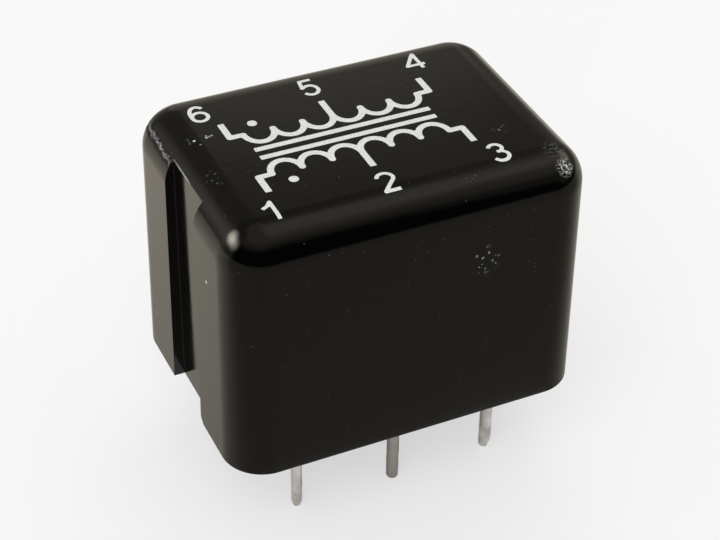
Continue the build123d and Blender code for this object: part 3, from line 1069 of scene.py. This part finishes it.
def add_softbox(name, azimuth, elevation, distance, size, power):
    """A square studio lamp that looks at the middle of the case."""
    data = bpy.data.lights.new(name, "AREA")
    data.shape = "SQUARE"
    data.size = size
    data.energy = power
    lamp = new_object(name, data)
    target = Vector((0, 0, CASE_HEIGHT / 2))
    lamp.matrix_world = aim_matrix(target + direction(azimuth, elevation) * distance, target)
    lamp.visible_glossy = False


def new_glow(name):
    """A material that only glows, with its node tree and glow shader."""
    material = bpy.data.materials.new(name)
    material.use_nodes = True
    tree = material.node_tree
    tree.nodes.clear()
    glow = add_node(tree, "ShaderNodeEmission", inputs={"Color": WARM_TINT})
    add_node(tree, "ShaderNodeOutputMaterial", inputs={"Surface": glow.outputs[0]})
    return material, tree, glow


def add_grey_ramp(tree, source, stops):
    """A ramp of greys along a value, from stops of (position, grey)."""
    ramp = add_node(tree, "ShaderNodeValToRGB", inputs={"Fac": source})
    for position, grey in stops[2:]:
        ramp.color_ramp.elements.new(position)
    for element, (position, grey) in zip(ramp.color_ramp.elements, stops):
        element.position = position
        element.color = (grey, grey, grey, 1)
    return ramp.outputs["Color"]


def room_material():
    """The room's light by height, in front of the case and behind it, and its bright patches."""
    material, tree, glow = new_glow("room_light")
    place = object_place(tree)
    split = split_place(tree, place)
    height = add_math(tree, "DIVIDE", split["Z"], ROOM_RADIUS)
    depth = add_math(tree, "DIVIDE", split["Y"], 2 * ROOM_TURN * ROOM_RADIUS)
    behind = add_math(tree, "ADD", depth, 0.5, clamp=True)
    front_grey = add_grey_ramp(tree, height, ROOM_GREYS_FRONT)
    back_grey = add_grey_ramp(tree, height, ROOM_GREYS_BACK)
    grey = mix_colours(tree, behind, front_grey, back_grey)
    for azimuth, elevation, inner, outer, strength in ROOM_PATCHES:
        centre = direction(azimuth, elevation) * ROOM_RADIUS
        patch = add_spot(tree, place, centre, inner * ROOM_RADIUS, outer * ROOM_RADIUS)
        grey = add_math(tree, "MULTIPLY_ADD", patch, strength, grey)
    tree.links.new(grey, glow.inputs["Strength"])
    return material


def card_material():
    """The floor's light as polished surfaces see it, dim in front and bright behind on the left."""
    material, tree, glow = new_glow("floor_card")
    place = object_place(tree)
    split = split_place(tree, place)
    lean = add_math(tree, "MULTIPLY_ADD", split["X"], CARD_TURN, split["Y"])
    share = add_range(tree, lean, -CARD_SIZE, CARD_SIZE)
    stops = [(0.5 + 0.5 * distance * MM / CARD_SIZE, grey) for distance, grey in CARD_GREYS]
    centre, inner, outer = CARD_SHADE
    narrow_centre = Vector((centre.x * CARD_SHADE_NARROWNESS, centre.y, 0))
    narrow_place = scale_place(tree, place, (CARD_SHADE_NARROWNESS, 1, 0))
    shade = add_spot(tree, narrow_place, narrow_centre, inner, outer)
    kept = add_math(tree, "MULTIPLY_ADD", shade, -CARD_SHADE_STRENGTH, 1.0)
    grey = add_math(tree, "MULTIPLY", add_grey_ramp(tree, share, stops), kept)
    tree.links.new(grey, glow.inputs["Strength"])
    return material


def show_in_reflections_only(piece):
    """Hide a piece from every kind of ray but those that polished surfaces send."""
    for ray in ("camera", "diffuse", "transmission", "volume_scatter", "shadow"):
        setattr(piece, f"visible_{ray}", False)


def remove_faces(piece, wanted):
    """Remove the faces that pass a test."""
    choose(piece, "FACE", wanted)
    bpy.ops.mesh.delete(type="FACE")
    bpy.ops.object.mode_set(mode="OBJECT")


def make_room():
    """The dim room around the table, as polished surfaces see it."""
    room = new_primitive(
        bpy.ops.mesh.primitive_uv_sphere_add, "room", segments=64, ring_count=32, radius=ROOM_RADIUS
    )
    remove_faces(room, lambda mesh, face: face.center.z < -ROOM_SKIRT)
    set_material(room, room_material())
    show_in_reflections_only(room)


def make_floor_card():
    """A thin card round the case, just over the floor, that only polished surfaces see."""
    card = new_primitive(bpy.ops.mesh.primitive_plane_add, "floor_card", size=2 * CARD_SIZE)
    bpy.ops.object.mode_set(mode="EDIT")
    bpy.ops.mesh.inset(thickness=CARD_SIZE / 2)
    bpy.ops.object.mode_set(mode="OBJECT")
    for vertex in [vertex for vertex in card.data.vertices if vertex.co.length < CARD_SIZE]:
        vertex.co.x = CARD_HOLE_LOW.x if vertex.co.x < 0 else CARD_HOLE_HIGH.x
        vertex.co.y = CARD_HOLE_LOW.y if vertex.co.y < 0 else CARD_HOLE_HIGH.y
    hole_reach = CARD_HOLE_HIGH.length
    remove_faces(card, lambda mesh, face: face.center.length < hole_reach)
    card.data.transform(Matrix.Translation((0, 0, CARD_LEVEL)))
    set_material(card, card_material())
    show_in_reflections_only(card)


make_camera()
make_world()
make_floor()
make_room()
make_floor_card()
for name, setup in SOFTBOXES.items():
    add_softbox(name, *setup)

case = make_case()
set_material(case, case_material())
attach(case, "root")
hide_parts("moulded_case")

ink = ink_material()
for piece in make_print(case):
    set_material(piece, ink)
    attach(piece, "root")

tin = tin_material()
for number in range(1, 7):
    pin = make_pin(number)
    set_material(pin, tin)
    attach(pin, "root")
    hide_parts(f"terminal_pin_{number}")

# The pieces that the CAD model shapes, each with the material of its slot
finishes = {
    "resin": resin_material(),
    "bobbin_nylon": nylon_material(),
    "copper_wire": winding_material(),
    "tape_film": tape_material(),
    "lead_enamel": enamel_material(),
    "solder": solder_material(),
    "core_steel": steel_material(),
    "case_plastic": case.data.materials[0],
    "tinned_pin": tin,
}
for subpart in frame["record"]["subparts"]:
    set_material(frame["nodes"][subpart["node"]], finishes[subpart["material_slot"]])

bpy.context.scene.view_settings.view_transform = "Standard"
